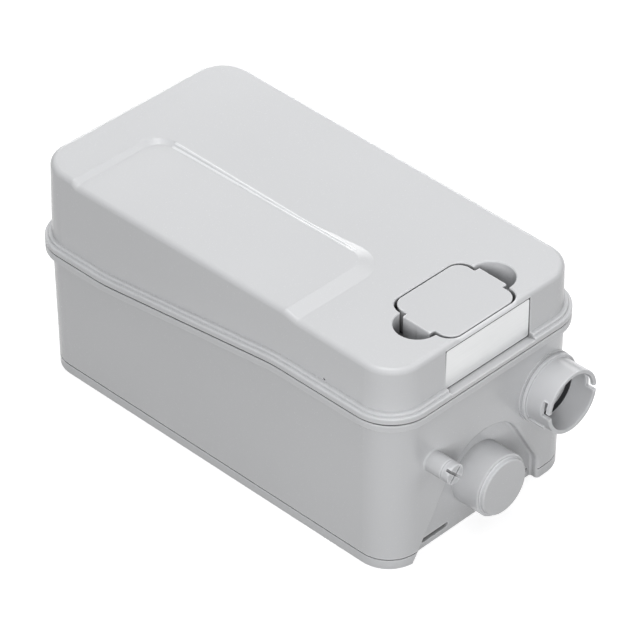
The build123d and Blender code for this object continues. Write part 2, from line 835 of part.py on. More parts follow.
# Blank label plate.
with BuildPart() as rating_plate:
    with BuildSketch(front_plane(label_floor_y)):
        with Locations((0, label_center_z)):
            RectangleRounded(label_width, label_height, label_recess)
    extrude(amount=label_thickness)
save(rating_plate, "rating_plate")

# Discharge socket: the mouth outside, and the housing of the non-return valve inside the tank.
with BuildPart() as discharge_socket:
    add(tube(socket_root_y, socket_x, socket_z, socket_collar_diameter, 0, socket_collar_thickness))
    add(tube(socket_root_y, socket_x, socket_z, socket_diameter, 0, socket_root_y - socket_end_y))
    fillet(discharge_socket.edges().filter_by(GeomType.CIRCLE), socket_round)
    add(tube(valve_seat_y, socket_x, socket_z, socket_neck_diameter, 0, valve_seat_y - socket_collar_y))
    # A rib low on the left of the mouth
    with BuildSketch(front_plane(socket_root_y)):
        with Locations((socket_x, socket_z)):
            with PolarLocations(socket_diameter / 2, 1, mouth_rib_angle):
                Rectangle(2 * mouth_rib_height, mouth_rib_width)
    extrude(amount=socket_root_y - socket_end_y - bayonet_depth)
    # The bore: the mouth, the seat of its rubber ring and the valve's chamber
    with BuildSketch(front_plane(mouth_end_y)):
        with Locations((socket_x, socket_z)):
            Circle(socket_bore / 2)
    extrude(amount=2 * mouth_depth, mode=Mode.SUBTRACT)
    fillet(discharge_socket.faces().sort_by(Axis.Y)[0].inner_wires()[0].edges(), socket_round)
    with BuildSketch(front_plane(mouth_end_y + mouth_seal_width)):
        with Locations((socket_x, socket_z)):
            Circle(mouth_seal_diameter / 2)
    extrude(amount=2 * mouth_seal_width, mode=Mode.SUBTRACT)
    with BuildSketch(front_plane(valve_seat_y + cut_margin)):
        with Locations((socket_x, socket_z)):
            Circle(socket_neck_bore / 2)
    extrude(amount=half_length, mode=Mode.SUBTRACT)
    # A bayonet slot on each side of the mouth, with its hook upwards
    with BuildSketch(front_plane(socket_end_y + bayonet_depth)):
        with Locations((socket_x, socket_z)):
            Rectangle(socket_diameter + bayonet_width, bayonet_width)
    extrude(amount=2 * bayonet_depth, mode=Mode.SUBTRACT)
    with BuildSketch(front_plane(socket_end_y + bayonet_depth)):
        with Locations((socket_x, socket_z + bayonet_hook / 2)):
            Rectangle(socket_diameter + bayonet_width, bayonet_width + bayonet_hook)
    extrude(amount=bayonet_width, mode=Mode.SUBTRACT)
    # The hole for the flap's pin
    with BuildSketch(Plane.YZ.offset(socket_x)):
        with Locations((flap_pin_y, socket_z + flap_pin_rise)):
            Circle(flap_pin_diameter / 2)
    extrude(amount=flap_pin_length / 2, both=True, mode=Mode.SUBTRACT)
save(discharge_socket, "discharge_socket")

# Flat ring that seals the socket's collar against the wall.
wall_seal_diameter = socket_collar_diameter - socket_seal_inset
with BuildPart() as wall_seal:
    add(tube(socket_pad_y, socket_x, socket_z, wall_seal_diameter, socket_neck_diameter, socket_seal_thickness))
save(wall_seal, "wall_seal")

# Nut that holds the socket from inside the tank.
nut_face_y = socket_pad_y + socket_boss_length
with BuildPart() as socket_nut:
    with BuildSketch(front_plane(nut_face_y + socket_nut_thickness)):
        with Locations((socket_x, socket_z)):
            RegularPolygon(socket_nut_diameter / 2, 8, rotation=180 / 8)
            Circle(socket_neck_diameter / 2, mode=Mode.SUBTRACT)
    extrude(amount=socket_nut_thickness)
save(socket_nut, "socket_nut")

# Rubber ring inside the mouth, for the pipe that is pushed in.
with BuildPart() as mouth_seal:
    seal_back_y = mouth_end_y + mouth_seal_width
    add(tube(seal_back_y, socket_x, socket_z, mouth_seal_diameter, mouth_seal_bore, mouth_seal_width))
save(mouth_seal, "mouth_seal")

# Seat of the non-return valve, with the tail that the hose is pushed on.
with BuildPart() as valve_seat:
    seat_back_y = valve_seat_y + valve_seat_thickness
    add(tube(seat_back_y, socket_x, socket_z, socket_neck_diameter, tail_bore, valve_seat_thickness))
    add(tube(tail_end_y, socket_x, socket_z, hose_inner, tail_bore, tail_length))
save(valve_seat, "valve_seat")

# Union nut that holds the seat on the socket's neck.
with BuildPart() as valve_nut:
    nut_back_y = seat_back_y + valve_nut_lip
    add(tube(nut_back_y, socket_x, socket_z, valve_nut_diameter, hose_inner + 2 * fit_gap, valve_nut_length))
    with BuildSketch(front_plane(seat_back_y)):
        with Locations((socket_x, socket_z)):
            Circle(socket_neck_diameter / 2)
    extrude(amount=valve_nut_length, mode=Mode.SUBTRACT)
save(valve_nut, "valve_nut")

# Flap of the non-return valve, with the arm and knuckle that hang it on its pin.
with BuildPart() as valve_flap:
    add(tube(valve_seat_y - fit_gap, socket_x, socket_z, flap_diameter, 0, flap_thickness))
    with BuildSketch(front_plane(valve_seat_y - fit_gap)):
        with Locations((socket_x, socket_z + flap_pin_rise / 2)):
            Rectangle(flap_arm_width, flap_pin_rise)
    extrude(amount=flap_thickness)
    with BuildSketch(Plane.YZ.offset(socket_x)):
        with Locations((flap_pin_y, socket_z + flap_pin_rise)):
            Circle(flap_knuckle_diameter / 2)
    extrude(amount=flap_arm_width / 2, both=True)
    with BuildSketch(Plane.YZ.offset(socket_x)):
        with Locations((flap_pin_y, socket_z + flap_pin_rise)):
            Circle(flap_pin_diameter / 2 + running_gap)
    extrude(amount=flap_arm_width, both=True, mode=Mode.SUBTRACT)
save(valve_flap, "valve_flap")

# Pin of the flap.
with BuildPart() as flap_pin:
    with BuildSketch(Plane.YZ.offset(socket_x)):
        with Locations((flap_pin_y, socket_z + flap_pin_rise)):
            Circle(flap_pin_diameter / 2)
    extrude(amount=flap_pin_length / 2, both=True)
save(flap_pin, "flap_pin")

# Rubber hose from the pump up to the valve.
with BuildPart() as discharge_hose:
    with BuildLine() as hose_route:
        FilletPolyline(
            (outlet_x, hose_rear_end_y, outlet_z),
            (outlet_x, hose_bend_rear_y, outlet_z),
            (socket_x, hose_bend_front_y, socket_z),
            (socket_x, hose_front_end_y, socket_z),
            radius=hose_bend,
        )
    with BuildSketch(Plane(origin=hose_route.line @ 0, z_dir=hose_route.line % 0)):
        Circle(hose_outer / 2)
        Circle(hose_inner / 2, mode=Mode.SUBTRACT)
    sweep()
save(discharge_hose, "discharge_hose")

# Band clamps at the two ends of the hose.
clamp_diameter = hose_outer + 2 * clamp_thickness
clamp_margin = (hose_grip - clamp_width) / 2
with BuildPart() as hose_clamps:
    add(tube(hose_rear_end_y - clamp_margin, outlet_x, outlet_z, clamp_diameter, hose_outer, clamp_width))
    add(tube(tail_end_y - clamp_margin, socket_x, socket_z, clamp_diameter, hose_outer, clamp_width))
save(hose_clamps, "hose_clamps")

# Screw plug of the spigot, turned by the cross slot in its head.
plug_face_y = spigot_end_y + plug_head
with BuildPart() as drain_plug:
    add(tube(plug_face_y, spigot_x, spigot_z, spigot_diameter, 0, plug_head))
    fillet(drain_plug.faces().sort_by(Axis.Y)[0].edges(), plug_round)
    with BuildSketch(front_plane(plug_face_y)):
        with Locations((spigot_x, spigot_z)):
            Circle(spigot_bore / 2 - running_gap)
    extrude(amount=-plug_shank_length)
    with BuildSketch(front_plane(spigot_end_y + plug_slot_depth)):
        with Locations((spigot_x, spigot_z)):
            Rectangle(2 * spigot_diameter, plug_slot_width, rotation=45)
            Rectangle(2 * spigot_diameter, plug_slot_width, rotation=-45)
    extrude(amount=plug_head, mode=Mode.SUBTRACT)
save(drain_plug, "drain_plug")

# Ring that seals the plug's head.
plug_seal_diameter = spigot_diameter - plug_seal_inset
with BuildPart() as plug_seal:
    add(
        tube(
            plug_face_y + plug_seal_thickness,
            spigot_x,
            spigot_z,
            plug_seal_diameter,
            spigot_bore,
            plug_seal_thickness - running_gap,
        )
    )
save(plug_seal, "plug_seal")

# Cable gland in the rear wall: its body, with a collar outside and a bore for the rubber ring.
gland_bore = gland_thread_diameter - 2 * gland_wall
gland_end_y = gland_pad_y + gland_length
gland_collar_y = gland_pad_y + gland_collar_thickness
with BuildPart() as gland_body:
    add(tube(gland_end_y, gland_x, gland_z, gland_thread_diameter, gland_bore, 2 * gland_length))
    add(tube(gland_collar_y, gland_x, gland_z, gland_collar_diameter, gland_bore, gland_collar_thickness))
save(gland_body, "gland_body")

# Nut on the gland, inside the tank.
gland_nut_face_y = gland_pad_y - socket_pad - tank_wall - 2 * fit_gap
with BuildPart() as gland_locknut:
    with BuildSketch(front_plane(gland_nut_face_y)):
        with Locations((gland_x, gland_z)):
            RegularPolygon(gland_collar_diameter / 2, 6)
            Circle(gland_thread_diameter / 2, mode=Mode.SUBTRACT)
    extrude(amount=gland_collar_thickness)
save(gland_locknut, "gland_locknut")

# Rubber ring that grips the cable.
with BuildPart() as gland_seal:
    add(tube(gland_end_y, gland_x, gland_z, gland_bore, gland_cable_diameter, gland_length))
save(gland_seal, "gland_seal")

# Dome nut that squeezes the rubber ring, with six grips round it.
with BuildPart() as gland_nut:
    with BuildSketch(front_plane(gland_end_y + gland_nut_end)):
        with Locations((gland_x, gland_z)):
            Circle(gland_collar_diameter / 2 - gland_nut_inset)
            with PolarLocations(gland_collar_diameter / 2, gland_grips):
                Circle(gland_nut_inset + fit_gap, mode=Mode.SUBTRACT)
            Circle(gland_cable_diameter / 2 + fit_gap, mode=Mode.SUBTRACT)
    extrude(amount=gland_end_y + gland_nut_end - gland_collar_y - fit_gap)
    with BuildSketch(front_plane(gland_end_y + running_gap)):
        with Locations((gland_x, gland_z)):
            Circle(gland_thread_diameter / 2 + running_gap)
    extrude(amount=gland_length, mode=Mode.SUBTRACT)
save(gland_nut, "gland_nut")

# Deck that carries the motor above and the pump below.
with BuildPart() as deck:
    with BuildSketch(Plane.XY.offset(deck_z)):
        with Locations((0, (deck_front_y + deck_rear_y) / 2)):
            RectangleRounded(deck_width, deck_rear_y - deck_front_y, deck_corner_radius)
        with Locations((deck_notch_x, deck_notch_y)):
            Rectangle(deck_width, reach, align=(Align.MIN, Align.MAX), mode=Mode.SUBTRACT)
        with Locations((0, pump_y)):
            Circle(hub_radius - hub_wall, mode=Mode.SUBTRACT)
        with Locations((switch_x, switch_y)):
            Circle(bell_outer / 2 + fit_gap, mode=Mode.SUBTRACT)
        with Locations(*post_places):
            Circle(screw_radius + fit_gap, mode=Mode.SUBTRACT)
        with Locations(*motor_bolts):
            Circle(screw_radius + fit_gap, mode=Mode.SUBTRACT)
    extrude(amount=deck_thickness)
save(deck, "deck")

# Four posts on the tank's floor, each pressed on its peg and drilled for the deck's screw.
with BuildPart() as deck_posts:
    with BuildSketch(Plane.XY.offset(floor_thickness)):
        with Locations(*post_places):
            Circle(post_radius)
    extrude(amount=deck_z - floor_thickness)
    with BuildSketch(Plane.XY.offset(floor_thickness)):
        with Locations(*post_places):
            Circle(post_peg_radius)
    extrude(amount=post_peg_height + fit_gap, mode=Mode.SUBTRACT)
    with BuildSketch(Plane.XY.offset(deck_z)):
        with Locations(*post_places):
            Circle(screw_radius)
    extrude(amount=-screw_length - fit_gap, mode=Mode.SUBTRACT)
save(deck_posts, "deck_posts")

# Four screws that hold the deck on its posts.
with BuildPart() as deck_screws:
    add(screws(post_places, motor_base_z, screw_length + deck_thickness))
save(deck_screws, "deck_screws")

# Four rubber mounts between the tank's floor and the pump.
with BuildPart() as pump_mounts:
    with BuildSketch(Plane.XY.offset(floor_thickness)):
        with Locations((0, pump_y)):
            with GridLocations(2 * mount_offset, 2 * mount_offset, 2, 2):
                Circle(mount_radius)
    extrude(amount=mount_height)
save(pump_mounts, "pump_mounts")

# Plate under the pump, with the inlet's strainer holes and four ears.
with BuildPart() as suction_plate:
    with BuildSketch(Plane.XY.offset(floor_thickness + mount_height)):
        with Locations((0, pump_y)):
            Circle(volute_diameter / 2)
        with Locations(*ear_places):
            Circle(ear_radius)
            Circle(screw_radius + fit_gap, mode=Mode.SUBTRACT)
        with Locations((0, pump_y)):
            Circle(strainer_hole, mode=Mode.SUBTRACT)
            with PolarLocations(strainer_circle, strainer_count):
                Circle(strainer_hole, mode=Mode.SUBTRACT)
    extrude(amount=suction_plate_thickness)
save(suction_plate, "suction_plate")

# Screws that hold the plate under the casing, with their heads underneath.
with BuildPart() as plate_screws:
    add(screws(ear_places, floor_thickness + mount_height, suction_plate_thickness + plate_screw_grip, up=-1))
save(plate_screws, "plate_screws")

# Pump casing: a round chamber, open below, with a tangential outlet and a hub for the shaft seal.
with BuildPart() as pump_casing:
    with BuildSketch(Plane.XY.offset(volute_base_z)):
        with Locations((0, pump_y)):
            Circle(volute_diameter / 2)
        with Locations(*ear_places):
            Circle(ear_radius)
    extrude(amount=volute_height)
    with BuildSketch(Plane.XY.offset(chamber_top_z)):
        with Locations((0, pump_y)):
            Circle(hub_radius)
        with Locations(*motor_bolts):
            Circle(ear_radius)
    extrude(amount=deck_z - chamber_top_z)
    with BuildSketch(front_plane(pump_y)):
        with Locations((outlet_x, outlet_z)):
            Circle(hose_inner / 2)
    extrude(amount=pump_y - outlet_end_y)
    # The chamber, the outlet's bore, the shaft's passage and the screw holes
    with BuildSketch(Plane.XY.offset(volute_base_z)):
        with Locations((0, pump_y)):
            Circle(volute_diameter / 2 - volute_wall)
    extrude(amount=chamber_top_z - volute_base_z, mode=Mode.SUBTRACT)
    with BuildSketch(front_plane(pump_y)):
        with Locations((outlet_x, outlet_z)):
            Circle(tail_bore / 2)
    extrude(amount=pump_y - outlet_end_y, mode=Mode.SUBTRACT)
    with BuildSketch(Plane.XY.offset(deck_z)):
        with Locations((0, pump_y)):
            Circle(hub_radius - hub_wall)
    extrude(amount=volute_base_z - deck_z, mode=Mode.SUBTRACT)
    with BuildSketch(Plane.XY.offset(deck_z)):
        with Locations(*motor_bolts):
            Circle(screw_radius)
    extrude(amount=-motor_screw_grip - fit_gap, mode=Mode.SUBTRACT)
    with BuildSketch(Plane.XY.offset(volute_base_z)):
        with Locations(*ear_places):
            Circle(screw_radius)
    extrude(amount=plate_screw_grip + fit_gap, mode=Mode.SUBTRACT)
save(pump_casing, "pump_casing")

# Seal round the shaft, between the wet chamber and the motor.
with BuildPart() as shaft_seal:
    add(
        washer(
            0,
            pump_y,
            chamber_top_z,
            hub_radius - hub_wall,
            shaft_diameter / 2 + running_gap,
            shaft_seal_height,
        )
    )
save(shaft_seal, "shaft_seal")

# Open impeller: a disc with curved vanes hanging from it, on a hub.
vane_line = ThreePointArc(
    (vane_inner, 0),
    ((vane_inner + impeller_diameter / 2 - vane_thickness) / 2, vane_bow),
    (impeller_diameter / 2 - vane_thickness, 0),
)
with BuildPart() as impeller:
    add(washer(0, pump_y, impeller_top_z - impeller_disc, impeller_diameter / 2, 0, impeller_disc))
    add(washer(0, pump_y, impeller_low_z, impeller_hub_radius, 0, vane_height + impeller_disc / 2))
    with BuildSketch(Plane.XY.offset(impeller_low_z)):
        with Locations((0, pump_y)):
            with PolarLocations(0, vane_count):
                SlotArc(vane_line, vane_thickness)
    extrude(amount=vane_height + impeller_disc / 2)
    with BuildSketch(Plane.XY.offset(impeller_low_z)):
        with Locations((0, pump_y)):
            Circle(shaft_diameter / 2)
    extrude(amount=vane_height + impeller_disc, mode=Mode.SUBTRACT)
save(impeller, "impeller")

# Nut that holds the impeller on the shaft's end.
with BuildPart() as impeller_nut:
    with BuildSketch(Plane.XY.offset(impeller_low_z)):
        with Locations((0, pump_y)):
            RegularPolygon(impeller_nut_radius, 6)
    extrude(amount=-impeller_nut_height)
    with BuildSketch(Plane.XY.offset(impeller_low_z)):
        with Locations((0, pump_y)):
            Circle(shaft_diameter / 2)
    extrude(amount=-shaft_tip, mode=Mode.SUBTRACT)
save(impeller_nut, "impeller_nut")

# Shaft of the motor, which carries the impeller.
with BuildPart() as shaft:
    add(washer(0, pump_y, shaft_low_z, shaft_diameter / 2, 0, shaft_top_z - shaft_low_z))
save(shaft, "shaft")

# Core of the rotor, pressed on the shaft.
with BuildPart() as rotor_core:
    add(washer(0, pump_y, stator_z, rotor_diameter / 2, shaft_diameter / 2, stator_height))
save(rotor_core, "rotor_core")

# Motor housing: a cup with a bolting flange, and a boss for the lower bearing.
with BuildPart() as motor_housing:
    add(washer(0, pump_y, motor_base_z, motor_diameter / 2, 0, motor_height))
    with BuildSketch(Plane.XY.offset(motor_base_z)):
        with Locations((0, pump_y)):
            Circle(motor_diameter / 2 + motor_flange_width)
    extrude(amount=motor_flange_thickness)
    with BuildSketch(Plane.XY.offset(motor_base_z + motor_floor)):
        with Locations((0, pump_y)):
            Circle(motor_diameter / 2 - motor_wall)
            Circle(bearing_outer / 2 + bearing_boss_wall, mode=Mode.SUBTRACT)
    extrude(amount=motor_height, mode=Mode.SUBTRACT)
    with BuildSketch(Plane.XY.offset(motor_base_z + motor_floor + bearing_height)):
        with Locations((0, pump_y)):
            Circle(motor_diameter / 2 - motor_wall)
    extrude(amount=motor_height, mode=Mode.SUBTRACT)
    with BuildSketch(Plane.XY.offset(motor_base_z + motor_floor)):
        with Locations((0, pump_y)):
            Circle(bearing_outer / 2)
    extrude(amount=motor_height, mode=Mode.SUBTRACT)
    with BuildSketch(Plane.XY.offset(motor_base_z)):
        with Locations((0, pump_y)):
            Circle(shaft_diameter / 2 + fit_gap)
        with Locations(*motor_bolts):
            Circle(screw_radius + fit_gap)
    extrude(amount=motor_height, mode=Mode.SUBTRACT)
save(motor_housing, "motor_housing")

# Four screws through the motor's flange and the deck into the pump casing.
with BuildPart() as motor_screws:
    add(
        screws(
            motor_bolts,
            motor_base_z + motor_flange_thickness,
            motor_flange_thickness + deck_thickness + motor_screw_grip,
        )
    )
save(motor_screws, "motor_screws")

# Bearings below and above the rotor.
bearing_bore = shaft_diameter / 2 + running_gap
with BuildPart() as lower_bearing:
    add(washer(0, pump_y, motor_base_z + motor_floor, bearing_outer / 2, bearing_bore, bearing_height))
save(lower_bearing, "lower_bearing")

with BuildPart() as upper_bearing:
    add(washer(0, pump_y, motor_top_z - bearing_height, bearing_outer / 2, bearing_bore, bearing_height))
save(upper_bearing, "upper_bearing")

# Stator: the laminated ring round the rotor.
stator_radius = motor_diameter / 2 - motor_wall
stator_bore = rotor_diameter / 2 + air_gap
with BuildPart() as stator_stack:
    add(washer(0, pump_y, stator_z, stator_radius, stator_bore, stator_height))
save(stator_stack, "stator_stack")

# End turns of the copper winding, below and above the stator.
winding_radius = stator_bore + winding_gap
with BuildPart() as stator_windings:
    for low_z in (stator_z - winding_height, stator_z + stator_height):
        add(washer(0, pump_y, low_z, winding_radius + winding_width, winding_radius, winding_height))
save(stator_windings, "stator_windings")

# Cap of the motor, with a boss for the upper bearing and a ring that centres it in the housing.
with BuildPart() as motor_cap:
    add(washer(0, pump_y, motor_top_z, motor_diameter / 2, 0, motor_cap_thickness))
    with BuildSketch(Plane.XY.offset(motor_top_z)):
        with Locations((0, pump_y)):
            Circle(motor_diameter / 2 - motor_wall)
            Circle(motor_diameter / 2 - 2 * motor_wall, mode=Mode.SUBTRACT)
    extrude(amount=-motor_cap_ring)
    with BuildSketch(Plane.XY.offset(motor_top_z)):
        with Locations((0, pump_y)):
            Circle(bearing_outer / 2 + bearing_boss_wall)
            Circle(bearing_outer / 2, mode=Mode.SUBTRACT)
    extrude(amount=-bearing_height)
save(motor_cap, "motor_cap")

# Control box on the deck, open towards the front.
with BuildPart() as control_box:
    add(block(0, box_y, motor_base_z, box_width, box_depth, box_height))
    with BuildSketch(front_plane(box_y + box_depth / 2 - box_wall)):
        with Locations((0, motor_base_z + box_height / 2)):
            Rectangle(box_width - 2 * box_wall, box_height - 2 * box_wall)
    extrude(amount=box_depth, mode=Mode.SUBTRACT)
save(control_box, "control_box")

# Cover of the control box.
with BuildPart() as control_cover:
    add(block(0, box_y - (box_depth + box_wall) / 2, motor_base_z, box_width, box_wall, box_height))
save(control_cover, "control_cover")

# Circuit board, standing on two edges of the box.
board_y = box_y + box_depth / 2 - box_wall - board_lift
with BuildPart() as control_board:
    with BuildSketch(front_plane(board_y)):
        with Locations((0, motor_base_z + box_height / 2)):
            Rectangle(box_width - 2 * box_wall - fit_gap, box_height - 2 * box_wall - fit_gap)
    extrude(amount=board_thickness)
save(control_board, "control_board")

# Terminal block on the board.
with BuildPart() as terminal_block:
    with BuildSketch(front_plane(board_y - board_thickness)):
        with Locations((0, motor_base_z + box_wall + terminal_rise + terminal_height / 2)):
            Rectangle(terminal_width, terminal_height)
            with GridLocations(terminal_pitch, 0, terminal_count, 1):
                Circle(terminal_hole / 2, mode=Mode.SUBTRACT)
    extrude(amount=terminal_depth)
save(terminal_block, "terminal_block")

# Run capacitor of the motor, upright on the deck.
with BuildPart() as capacitor:
    add(washer(0, capacitor_y, motor_base_z, capacitor_diameter / 2, 0, capacitor_height))
save(capacitor, "capacitor")

# Clip round the capacitor, with a foot that stands on the deck.
with BuildPart() as capacitor_clip:
    clip_z = motor_base_z + capacitor_band_z
    clip_radius = capacitor_diameter / 2 + capacitor_band
    add(washer(0, capacitor_y, clip_z, clip_radius, 0, capacitor_band_height))
    foot_x = clip_radius + capacitor_foot / 2 - capacitor_band
    add(block(foot_x, capacitor_y, motor_base_z, capacitor_foot, capacitor_foot, capacitor_band_z))
    add(block(foot_x, capacitor_y, clip_z, capacitor_foot, capacitor_foot, capacitor_band_height))
    with BuildSketch(Plane.XY.offset(motor_base_z)):
        with Locations((0, capacitor_y)):
            Circle(capacitor_diameter / 2)
    extrude(amount=capacitor_height, mode=Mode.SUBTRACT)
save(capacitor_clip, "capacitor_clip")

# Dip bell of the level switch: a tube that traps air as the water rises.
with BuildPart() as dip_bell:
    add(washer(switch_x, switch_y, bell_bottom_z, bell_outer / 2, bell_inner / 2, bell_top_z - bell_bottom_z))
    add(
        washer(switch_x, switch_y, motor_base_z, switch_body_diameter / 2, bell_inner / 2, diaphragm_seat)
    )
save(dip_bell, "dip_bell")

# Rubber diaphragm over the bell.
with BuildPart() as diaphragm:
    add(washer(switch_x, switch_y, bell_top_z, switch_body_diameter / 2, 0, diaphragm_thickness))
save(diaphragm, "diaphragm")

# Housing over the diaphragm, with the plunger's guide and two legs for the microswitch.
with BuildPart() as switch_housing:
    add(
        washer(
            switch_x,
            switch_y,
            diaphragm_top_z,
            switch_body_diameter / 2,
            switch_body_diameter / 2 - switch_body_wall,
            switch_body_height,
        )
    )
    add(
        washer(
            switch_x,
            switch_y,
            switch_top_z - switch_top,
            switch_body_diameter / 2,
            plunger_diameter / 2 + running_gap,
            switch_top,
        )
    )
    with BuildSketch(Plane.XY.offset(switch_top_z)):
        with Locations((switch_x, switch_y)):
            with GridLocations(micro_width - micro_leg, 0, 2, 1):
                Rectangle(micro_leg, micro_depth)
    extrude(amount=micro_leg_height)
save(switch_housing, "switch_housing")

# Plunger that the diaphragm lifts.
with BuildPart() as plunger:
    add(washer(switch_x, switch_y, plunger_low_z, plunger_foot_diameter / 2, 0, plunger_foot))
    add(washer(switch_x, switch_y, plunger_low_z, plunger_diameter / 2, 0, plunger_length))
save(plunger, "plunger")

# Microswitch on the two legs.
with BuildPart() as microswitch:
    add(block(switch_x, switch_y, micro_z, micro_width, micro_depth, micro_height))
    with BuildSketch(Plane.XY.offset(micro_z)):
        with Locations((switch_x, switch_y)):
            Circle(micro_button_diameter / 2 + running_gap)
    extrude(amount=button_depth + plunger_travel + fit_gap, mode=Mode.SUBTRACT)
save(microswitch, "microswitch")

# Button of the microswitch.
with BuildPart() as switch_button:
    add(
        washer(
            switch_x,
            switch_y,
            button_low_z,
            micro_button_diameter / 2,
            0,
            micro_z + button_depth - button_low_z,
        )
    )
save(switch_button, "switch_button")
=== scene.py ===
import math

import bmesh
import bpy
from mathutils import Matrix, Vector


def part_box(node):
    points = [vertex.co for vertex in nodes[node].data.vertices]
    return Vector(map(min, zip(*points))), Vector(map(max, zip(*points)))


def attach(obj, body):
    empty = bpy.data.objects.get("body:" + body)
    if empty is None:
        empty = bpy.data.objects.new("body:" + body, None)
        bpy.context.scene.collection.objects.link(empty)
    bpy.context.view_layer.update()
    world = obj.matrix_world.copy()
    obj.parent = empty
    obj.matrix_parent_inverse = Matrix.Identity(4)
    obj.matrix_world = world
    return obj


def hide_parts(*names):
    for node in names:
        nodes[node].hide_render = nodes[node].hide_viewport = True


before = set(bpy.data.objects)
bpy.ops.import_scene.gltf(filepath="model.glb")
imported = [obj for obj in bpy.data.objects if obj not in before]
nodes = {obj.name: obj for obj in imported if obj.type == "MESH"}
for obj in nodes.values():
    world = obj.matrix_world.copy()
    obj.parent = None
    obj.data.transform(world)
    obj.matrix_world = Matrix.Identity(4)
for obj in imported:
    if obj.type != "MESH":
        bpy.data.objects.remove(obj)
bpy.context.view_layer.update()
scene = bpy.context.scene

# Camera. A long lens looks down on the unit from its front left corner,
# so that the port end, the left side and the whole lid show.
view_turn = math.radians(-45.478)
view_height = math.radians(37.685)
view_distance = 2.2061
unit_middle = Vector((0.0, 0.0, 0.07))
frame_shift = Vector((0.009604, -0.00402))
toward_camera = Vector(
    (
        math.sin(view_turn) * math.cos(view_height),
        -math.cos(view_turn) * math.cos(view_height),
        math.sin(view_height),
    )
)
view_right = Vector((math.cos(view_turn), math.sin(view_turn), 0.0))
view_up = toward_camera.cross(view_right)
camera_data = bpy.data.cameras.new("studio_camera")
camera_data.lens = 211.37
camera_data.sensor_width = 36.0
camera_data.clip_end = 20.0
camera = bpy.data.objects.new("studio_camera", camera_data)
aim_point = unit_middle + frame_shift.x * view_right + frame_shift.y * view_up
camera.location = aim_point + view_distance * toward_camera
camera.rotation_euler = (math.pi / 2 - view_height, 0.0, view_turn)
scene.collection.objects.link(camera)
scene.camera = camera


# White table. A matt light table of opal acrylic, lit a little from below so that
# shadows on it stay faint. It gives no bounce light to the unit's walls.
def linear_colour(hex_code):
    """Linear colour, with alpha 1, of an sRGB hex value."""
    channels = [int(hex_code[i : i + 2], 16) / 255 for i in (0, 2, 4)]
    linear = [c / 12.92 if c <= 0.04045 else ((c + 0.055) / 1.055) ** 2.4 for c in channels]
    return (*linear, 1.0)


def add_node(owner, kind, settings=(), links=()):
    """Adds one node: settings are (socket or property, value), links are (socket, source)."""
    node = owner.node_tree.nodes.new(kind)
    for name, value in settings:
        if isinstance(name, str) and hasattr(node, name):
            setattr(node, name, value)
        else:
            node.inputs[name].default_value = value
    for name, source in links:
        owner.node_tree.links.new(source, node.inputs[name])
    return node


def new_finish(name):
    """An empty material and its surface shader."""
    finish = bpy.data.materials.new(name)
    finish.use_nodes = True
    return finish, finish.node_tree.nodes["Principled BSDF"]


def new_piece(name, form, finish):
    """Makes one object of a finished bmesh, with its place in its mesh."""
    mesh = bpy.data.meshes.new(name)
    form.to_mesh(mesh)
    form.free()
    mesh.materials.append(finish)
    piece = bpy.data.objects.new(name, mesh)
    scene.collection.objects.link(piece)
    return piece


mm = 0.001
table_half = 6.0
table_glow = 0.70
acrylic_cloud_size = 3 * mm
opal_acrylic, opal_shader = new_finish("opal_acrylic")
acrylic_cloud = add_node(
    opal_acrylic, "ShaderNodeTexNoise", [("Scale", 1 / acrylic_cloud_size), ("Detail", 3.0)]
)
acrylic_tint = add_node(
    opal_acrylic, "ShaderNodeValToRGB", links=[("Fac", acrylic_cloud.outputs["Fac"])]
)
acrylic_tint.color_ramp.elements[0].color = linear_colour("C8C8C9")
acrylic_tint.color_ramp.elements[1].color = linear_colour("CCCCCC")
opal_acrylic.node_tree.links.new(acrylic_tint.outputs["Color"], opal_shader.inputs["Base Color"])
opal_shader.inputs["Roughness"].default_value = 0.9
opal_shader.inputs["Emission Color"].default_value = (1.0, 1.0, 1.0, 1.0)
opal_shader.inputs["Emission Strength"].default_value = table_glow
table_form = bmesh.new()
bmesh.ops.create_grid(table_form, x_segments=1, y_segments=1, size=table_half)
table = new_piece("table", table_form, opal_acrylic)
table.visible_diffuse = False

# Studio. White walls that fade to dark below the table's level, one lit wall behind the unit,
# a soft box on the camera's side, and three overhead whose reflections mark the rounded edges.
sky_low = 0.08
sky_high = 0.385
fade_start = -0.05
fade_end = 0.35
world = scene.world or bpy.data.worlds.new("studio")
scene.world = world
world.use_nodes = True
sky_direction = add_node(world, "ShaderNodeTexCoord").outputs["Generated"]
sky_height = add_node(world, "ShaderNodeSeparateXYZ", links=[("Vector", sky_direction)]).outputs["Z"]
sky_light = add_node(
    world,
    "ShaderNodeMapRange",
    [("From Min", fade_start), ("From Max", fade_end), ("To Min", sky_low), ("To Max", sky_high)],
    [("Value", sky_height)],
)
sky = world.node_tree.nodes["Background"]
sky.inputs["Color"].default_value = (1.0, 1.0, 1.0, 1.0)
world.node_tree.links.new(sky_light.outputs["Result"], sky.inputs["Strength"])


def soft_box(name, place, size, power):
    """A square area light aimed at the unit."""
    lamp = bpy.data.lights.new(name, "AREA")
    lamp.size = size
    lamp.energy = power
    holder = bpy.data.objects.new(name, lamp)
    holder.location = place
    holder.rotation_euler = (unit_middle - Vector(place)).to_track_quat("-Z", "Y").to_euler()
    scene.collection.objects.link(holder)
    return holder


# The box on the camera's side shines through a polarising sheet, so that it leaves no glare.
key_box = soft_box("box_camera_side", (-1.42, -1.40, 0.85), 0.9, 23.0)
key_box.visible_glossy = False
soft_box("box_top", (0.0, 0.05, 2.1), 1.0, 13.0)
soft_box("wall_behind", (1.45, 1.45, 0.60), 1.2, 16.0)
soft_box("box_right", (1.18, 0.50, 1.70), 0.6, 1.8)
soft_box("box_front_right", (1.20, -0.80, 1.55), 0.6, 3.0)
scene.view_settings.view_transform = "Standard"


